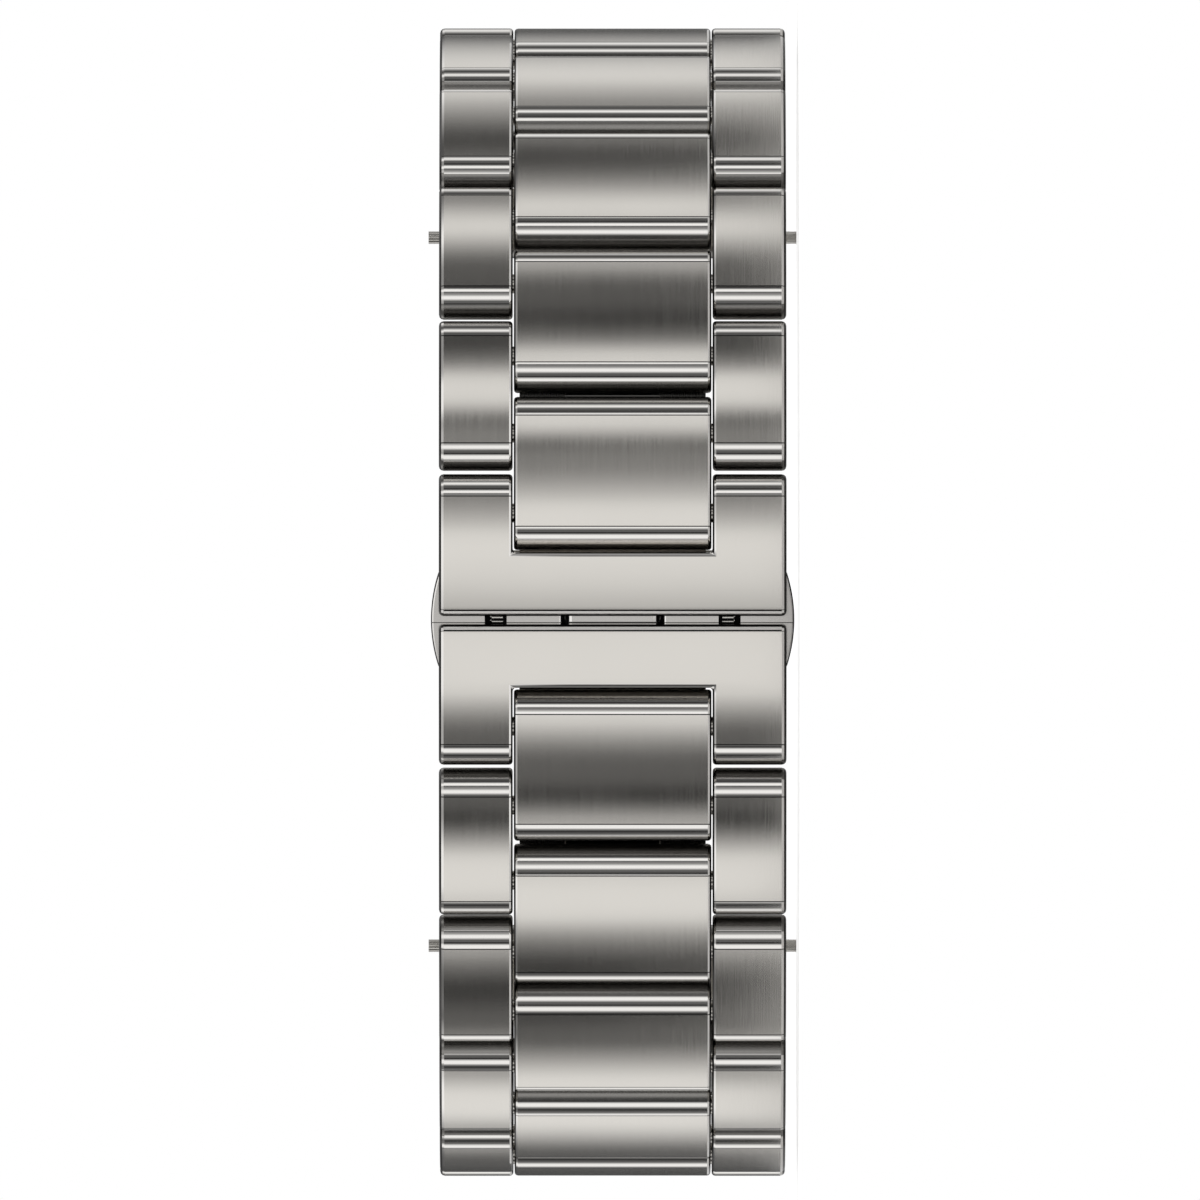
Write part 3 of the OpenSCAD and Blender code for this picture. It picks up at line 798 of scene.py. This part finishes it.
def cover_model():
    """The cover of half a: satin face, polished prong and lip, recess, hinge ears and two hooks, with painted
    dark reflections and a painted highlight on the lip, a painted dark line where the prong's round begins
    and painted shade where it faces into the gap.
    """
    prong_x = FIRST_PIN_X + PRONG_REACH - POLISH_R
    prong_depth = FACE_R - math.sqrt((FACE_R - POLISH_R) ** 2 - (prong_x - CROWN_X) ** 2)
    lean = math.asin((prong_x - CROWN_X) / (FACE_R - POLISH_R))
    out = (math.cos(lean), math.sin(lean))
    seam_x = SEAM_GAP / 2
    lip_x = seam_x + SEAM_ROUND
    lip_lean = math.asin((CROWN_X - lip_x) / (SEAM_FACE_R - SEAM_ROUND))
    lip_depth = SEAM_FACE_R - (SEAM_FACE_R - SEAM_ROUND) * math.cos(lip_lean)
    border_x = CROWN_X - SEAM_FACE_R * math.sin(lip_lean)
    piece = blank("cover model")
    heart = (CROWN_X, SEAM_FACE_R)
    arc(heart, SEAM_FACE_R, SEAM_FACE_CORNERS,
        [(heart, (1, 0)), ((border_x, 0), (-1, 0)), (heart, (0, 1))])
    heart = (lip_x, lip_depth)
    arc(heart, SEAM_ROUND, LIP_CORNERS,
        [(heart, (0, 1)), (heart, (math.cos(lip_lean), -math.sin(lip_lean)))])
    heart = (CROWN_X, FACE_R)
    arc(heart, FACE_R, FACE_CORNERS, [(heart, (-1, 0)), (heart, out), (heart, (0, 1))])
    round_end((prong_x, prong_depth), 1, out, COVER_INSIDE)
    step_x = LATCH_X + LATCH_PLAY
    drawn([(prong_x, COVER_INSIDE), (step_x, COVER_INSIDE), (step_x, SKIN_T), (seam_x, SKIN_T),
           (seam_x, lip_depth)])
    raised(-SIDE_OUT, SIDE_OUT)
    finished(piece, satin, polished, dark_reflection_and_shade, gap_shade_steel, painted_highlight_steel)
    cut(piece, box_tool((RECESS_X, FAR_PAST), (-PAST, PAST), (-SIDE_IN, SIDE_IN)))
    edged(piece)
    tangent_x = CROWN_X + (prong_x - CROWN_X) * FACE_R / (FACE_R - POLISH_R)
    scored(piece, tangent_x - BORDER_W)
    edge, upper, lower, under = SEAM_LIP
    paint(piece, POLISHED, lambda m, n: (m[0] > tangent_x or m[0] < border_x) and abs(n[2]) < SIDEWAYS)
    paint(piece, PAINTED_DARK, lambda m, n: tangent_x - BORDER_W < m[0] < tangent_x and n[1] < OUTWARD)
    paint(piece, GAP_SHADE, lambda m, n: m[0] > tangent_x and abs(n[2]) < SIDEWAYS and n[1] > -GAP_LEAN)
    paint(piece, PAINTED_DARK, lambda m, n: m[0] < border_x and abs(n[2]) < SIDEWAYS and
          (-edge < n[1] < -upper or -lower < n[1] < -under))
    paint(piece, PAINTED_HIGHLIGHT, lambda m, n: m[0] < border_x and abs(n[2]) < SIDEWAYS and -upper < n[1] < -lower)
    cut(piece, box_tool((-1, RECESS_X + KNUCKLE_UNDERCUT), (HINGE_DEPTH - KNUCKLE_ROOM, PAST),
                        (-SIDE_IN, SIDE_IN)))
    for side in (-1, 1):
        z = sorted(side * v for v in GUIDE_ROOM)
        cut(piece, box_tool((-1, GUIDE_ROOM_X), (SKIN_T, PAST), z))
    for side in (-1, 1):
        ear_z = sorted((side * SIDE_IN, side * EAR_OUT))
        weld(piece, rod_tool(EAR_R, HINGE_X, HINGE_DEPTH, ear_z))
        weld(piece, box_tool((HINGE_X, HINGE_X + EAR_R), (LINK_T / 2, HINGE_DEPTH), ear_z))
        stem_z = sorted((side * HOOK_Z[1], side * HOOK_Z[2]))
        foot_z = sorted((side * HOOK_Z[0], side * (HOOK_Z[1] + HOOK_Z[2]) / 2))
        weld(piece, box_tool(HOOK_X, (SKIN_T - HOOK_ROOT, HOOK_DEPTH[1]), stem_z))
        weld(piece, box_tool(HOOK_X, HOOK_DEPTH, foot_z))
    cut(piece, rod_tool(PIN_R, FIRST_PIN_X, 0.5 * LINK_T + pin_drop(), (-SIDE_OUT - 1, SIDE_OUT + 1)))
    cut(piece, rod_tool(HINGE_PIN_R, HINGE_X, HINGE_DEPTH, (-EAR_OUT - HAIR, EAR_OUT + HAIR)))
    smooth(piece)
    return piece


def pin_drop():
    """How much lower than the covers' highest line their face lies over the first pin."""
    return FACE_R - math.sqrt(FACE_R ** 2 - (FIRST_PIN_X - CROWN_X) ** 2)


def build_covers():
    model = cover_model()
    for half in "ab":
        piece = copy_of(model, f"cover_plate_{half}")
        to_clasp(piece, half)
        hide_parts(f"cover_{half}")
        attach(piece, f"cover_{half}")
    bpy.data.objects.remove(model)


def engrave(piece, width):
    """A line across the band along the middle of the latch: a shallow groove whose floor is painted dark as
    painted shade.
    """
    low, high = LINE_X - width / 2, LINE_X + width / 2
    cut(piece, box_tool((low, high), (0, LATCH_DEPTH + LINE_DEPTH), (-FAR_PAST, FAR_PAST)))
    near = HAIR / 10
    paint(piece, PAINTED_DARK, lambda m, n: low - near < m[0] < high + near and
          LATCH_DEPTH + near < m[1] < LATCH_DEPTH + LINE_DEPTH + near)


def button_model():
    """A plate with a rounded end, a window for the hook and a fine line along its middle."""
    bpy.ops.object.select_all(action="DESELECT")
    middle = (0, (LATCH_DEPTH + BUTTON_T / 2) * MM, (BUTTON_OUT - BUTTON_R) * MM)
    bpy.ops.mesh.primitive_cylinder_add(vertices=BUTTON_CORNERS, radius=BUTTON_R * MM, depth=BUTTON_T * MM,
                                        rotation=(math.pi / 2, 0, 0), location=middle)
    piece = bpy.context.object
    piece.name = piece.data.name = "button model"
    bpy.ops.object.transform_apply(location=True, rotation=True, scale=True)
    mode("EDIT")
    half_w = BUTTON_W / 2 * MM
    for place, away in (((half_w, 0, 0), (1, 0, 0)), ((-half_w, 0, 0), (-1, 0, 0)),
                        ((0, 0, BUTTON_IN * MM), (0, 0, -1))):
        bpy.ops.mesh.select_all(action="SELECT")
        bpy.ops.mesh.bisect(plane_co=place, plane_no=away, clear_outer=True, use_fill=True,
                            threshold=ON_THE_LINE)
    mode("OBJECT")
    finished(piece, seam_shaded_button_steel, polished, dark_reflection_and_shade)
    edged(piece, BUTTON_EDGE_R)
    reach = WINDOW_L / 2
    ledge = LATCH_DEPTH + LEDGE_T
    cut(piece, box_tool((-reach, reach), (0, PAST), WINDOW_Z))
    cut(piece, box_tool((-reach, reach), (ledge, PAST), (LEDGE_IN, WINDOW_Z[1])))
    cut(piece, rod_tool(SPRING_BORE_R, 0, SPRING_DEPTH, (0, SPRING_BORE_END)))
    engrave(piece, BUTTON_LINE_W)
    smooth(piece)
    return piece


def build_buttons():
    for end, side in (("top", 1), ("bottom", -1)):
        piece = button_model()
        piece.name = piece.data.name = f"button_plate_{end}"
        if side < 0:
            mirrored(piece, "Z")
        to_clasp(piece)
        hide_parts(f"button_{end}")
        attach(piece, f"button_{end}")


def build_block():
    """The block between the buttons, bored from both sides for their springs."""
    piece = box_tool((-BLOCK_L / 2, BLOCK_L / 2), (LATCH_DEPTH, BASE_DEPTH), (-BLOCK_W / 2, BLOCK_W / 2))
    piece.name = piece.data.name = "latch_tongue"
    finished(piece, seam_shaded_button_steel, polished, dark_reflection_and_shade)
    edged(piece, BUTTON_EDGE_R)
    engrave(piece, LINE_W)
    for z in ((-PAST, -BLOCK_W / 4), (BLOCK_W / 4, PAST)):
        cut(piece, rod_tool(SPRING_BORE_R, 0, SPRING_DEPTH, z))
    smooth(piece)
    to_clasp(piece)
    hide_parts("latch_block")
    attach(piece, "base")


def dress_frame():
    """Gives the CAD nodes that stay in view their finish; the blade pin takes the painted gap shade."""
    finishes = {"base_plate": pressed, "blade": blade_steel, "spring_bar": turned, "bar_tip": turned,
                "button_spring": spring, "bar_spring": spring, "link_pins": turned, "cover_pins": turned,
                "blade_pin": gap_shade_steel}
    for name, part in frame["nodes"].items():
        for start, finish in finishes.items():
            if name.startswith(start):
                part.data.materials.clear()
                part.data.materials.append(finish)


# Studio

SATIN_TONE = 0.7

# How far up or down a direction points where the stripes give way to a plain light, and how strong it is
SIDE_LIGHT = (0.3, 0.75)
ZENITH = (0.78, 0.97)
ZENITH_LIGHT = (0.95, 0.25)
GROUND = (-0.12, -0.3)
GROUND_LIGHT = 0.9


def shown_level(level):
    """Light that a display shows at this level of 255 once the satin steel has mirrored it."""
    part = level / 255
    linear = part / 12.92 if part <= 0.04045 else ((part + 0.055) / 1.055) ** 2.4
    return linear / SATIN_TONE


# The stripes: lean of a face that mirrors each to the camera, in degrees, and how bright it then shows
STRIPES = ((-80, 74), (-70, 125), (-58.5, 228), (-48, 114), (-44, 84), (-36.5, 64), (-31, 165), (-26, 260),
           (-22, 214), (-17, 66), (-13, 85), (-8.8, 90), (-6, 158), (-4, 208), (-1, 276), (2, 210),
           (6.5, 134), (10, 116), (12.5, 106), (16.5, 282), (20, 154), (23.5, 56), (27.5, 78), (32, 92),
           (35, 174), (38, 218), (42, 158), (46.5, 80), (53, 98), (60, 176), (66, 206), (80, 100))


def build_studio():
    """Light in stripes round the band, for the metal to mirror; the camera itself sees plain white."""
    world = bpy.data.worlds.new("Studio")
    bpy.context.scene.world = world
    world.use_nodes = True
    tree = world.node_tree
    tree.nodes.clear()
    way = node(tree, "ShaderNodeTexCoord", (-1400, 0))
    split = node(tree, "ShaderNodeSeparateXYZ", (-1200, 0))
    front = node(tree, "ShaderNodeMath", (-1000, -100), operation="MULTIPLY")
    front.inputs[1].default_value = -1.0
    turn = node(tree, "ShaderNodeMath", (-800, 0), operation="ARCTAN2")
    share = node(tree, "ShaderNodeMath", (-600, 0), operation="MULTIPLY_ADD")
    share.inputs[1].default_value = 1 / (2 * math.pi)
    share.inputs[2].default_value = 0.5
    bands = node(tree, "ShaderNodeValToRGB", (-400, 0))
    ramp = bands.color_ramp
    ramp.interpolation = "CARDINAL"
    while len(ramp.elements) > 1:
        ramp.elements.remove(ramp.elements[-1])
    for i, (lean, level) in enumerate(STRIPES):
        place = (math.radians(2 * lean) + VIEW_TURN) / (2 * math.pi) + 0.5
        place = min(1, max(0, place))
        stop = ramp.elements[0] if i == 0 else ramp.elements.new(place)
        stop.position = place
        light = shown_level(level)
        stop.color = (light, light, light, 1)
    height = node(tree, "ShaderNodeMapRange", (-800, -300), interpolation_type="SMOOTHSTEP")
    height.inputs["From Min"].default_value = SIDE_LIGHT[0]
    height.inputs["From Max"].default_value = SIDE_LIGHT[1]
    zenith = node(tree, "ShaderNodeMapRange", (-800, -560), interpolation_type="SMOOTHSTEP")
    zenith.inputs["From Min"].default_value = ZENITH[0]
    zenith.inputs["From Max"].default_value = ZENITH[1]
    zenith.inputs["To Min"].default_value = ZENITH_LIGHT[0]
    zenith.inputs["To Max"].default_value = ZENITH_LIGHT[1]
    ground = node(tree, "ShaderNodeMapRange", (-800, -820), interpolation_type="SMOOTHSTEP")
    ground.inputs["From Min"].default_value = GROUND[0]
    ground.inputs["From Max"].default_value = GROUND[1]
    upper = node(tree, "ShaderNodeMix", (-150, -100), data_type="FLOAT")
    lower = node(tree, "ShaderNodeMix", (50, -200), data_type="FLOAT")
    lower.inputs["B"].default_value = GROUND_LIGHT
    paths = node(tree, "ShaderNodeLightPath", (-150, 400))
    seen = node(tree, "ShaderNodeMath", (50, 300), operation="MAXIMUM")
    shade = node(tree, "ShaderNodeMix", (300, 0), data_type="FLOAT")
    shade.inputs["B"].default_value = 1.0
    light = node(tree, "ShaderNodeBackground", (500, 0))
    light.inputs["Color"].default_value = (1, 1, 1, 1)
    out = node(tree, "ShaderNodeOutputWorld", (700, 0))
    join = tree.links.new
    join(way.outputs["Generated"], split.inputs[0])
    join(split.outputs["Y"], front.inputs[0])
    join(split.outputs["X"], turn.inputs[0])
    join(front.outputs[0], turn.inputs[1])
    join(turn.outputs[0], share.inputs[0])
    join(share.outputs[0], bands.inputs["Fac"])
    join(split.outputs["Z"], height.inputs["Value"])
    join(split.outputs["Z"], zenith.inputs["Value"])
    join(split.outputs["Z"], ground.inputs["Value"])
    join(height.outputs["Result"], upper.inputs["Factor"])
    join(bands.outputs["Color"], upper.inputs["A"])
    join(zenith.outputs["Result"], upper.inputs["B"])
    join(ground.outputs["Result"], lower.inputs["Factor"])
    join(upper.outputs["Result"], lower.inputs["A"])
    join(lower.outputs["Result"], shade.inputs["A"])
    join(paths.outputs["Is Camera Ray"], seen.inputs[0])
    join(paths.outputs["Is Transmission Ray"], seen.inputs[1])
    join(seen.outputs[0], shade.inputs["Factor"])
    join(shade.outputs["Result"], light.inputs["Strength"])
    join(light.outputs[0], out.inputs["Surface"])


def build_floor():
    """A pale floor that ends in front of the clasp and takes the band's shadow."""
    bpy.ops.object.select_all(action="DESELECT")
    front, back = TOP_Y - FLOOR_FRONT * MM, FLOOR_SIZE / 2 * MM
    bpy.ops.mesh.primitive_plane_add(size=1, location=(0, (front + back) / 2, 0))
    floor = bpy.context.object
    floor.scale = (FLOOR_SIZE * MM, back - front, 1)
    bpy.ops.object.transform_apply(location=True, rotation=False, scale=True)
    floor.name = floor.data.name = "floor"
    material = bpy.data.materials.new("Pale floor")
    material.use_nodes = True
    shader = material.node_tree.nodes["Principled BSDF"]
    shader.inputs["Base Color"].default_value = (FLOOR_TONE, FLOOR_TONE, FLOOR_TONE, 1)
    shader.inputs["Roughness"].default_value = 1.0
    shader.inputs["Specular IOR Level"].default_value = 0.0
    tree = material.node_tree
    paths = node(tree, "ShaderNodeLightPath", (-500, -200))
    glow = node(tree, "ShaderNodeMath", (-250, -200), operation="MULTIPLY")
    glow.inputs[1].default_value = FLOOR_GLOW
    shader.inputs["Emission Color"].default_value = (1, 1, 1, 1)
    tree.links.new(paths.outputs["Is Camera Ray"], glow.inputs[0])
    tree.links.new(glow.outputs[0], shader.inputs["Emission Strength"])
    floor.data.materials.append(material)


def build_camera():
    """A long lens at the seam, with the band upright in the picture and half a at the top."""
    turn = VIEW_TURN
    look = Vector((-math.sin(turn), math.cos(turn), 0))
    up = Vector((math.cos(turn), math.sin(turn), 0))
    right = look.cross(up)
    data = bpy.data.cameras.new("Camera")
    data.lens = LENS
    data.sensor_width = SENSOR
    data.clip_start = 0.1
    data.clip_end = 10
    camera = bpy.data.objects.new("Camera", data)
    bpy.context.scene.collection.objects.link(camera)
    bpy.context.scene.camera = camera
    distance = FRAME_W * MM * LENS / SENSOR
    place = Vector(((VIEW_UP * MM - TOP_Y * math.sin(turn)) / math.cos(turn), TOP_Y,
                    MID_Z + VIEW_ASIDE * MM))
    turned_axes = Matrix((right, up, -look)).transposed().to_4x4()
    camera.matrix_world = Matrix.Translation(place - look * distance) @ turned_axes


build_links()
for which in "ab":
    build_end_link(which)
build_covers()
build_buttons()
build_block()
seam_shadow(pressed)
hinge_shadow(pressed)
hinge_shadow(blade_steel)
dress_frame()
build_studio()
build_floor()
build_camera()
bpy.context.scene.view_settings.view_transform = "Standard"
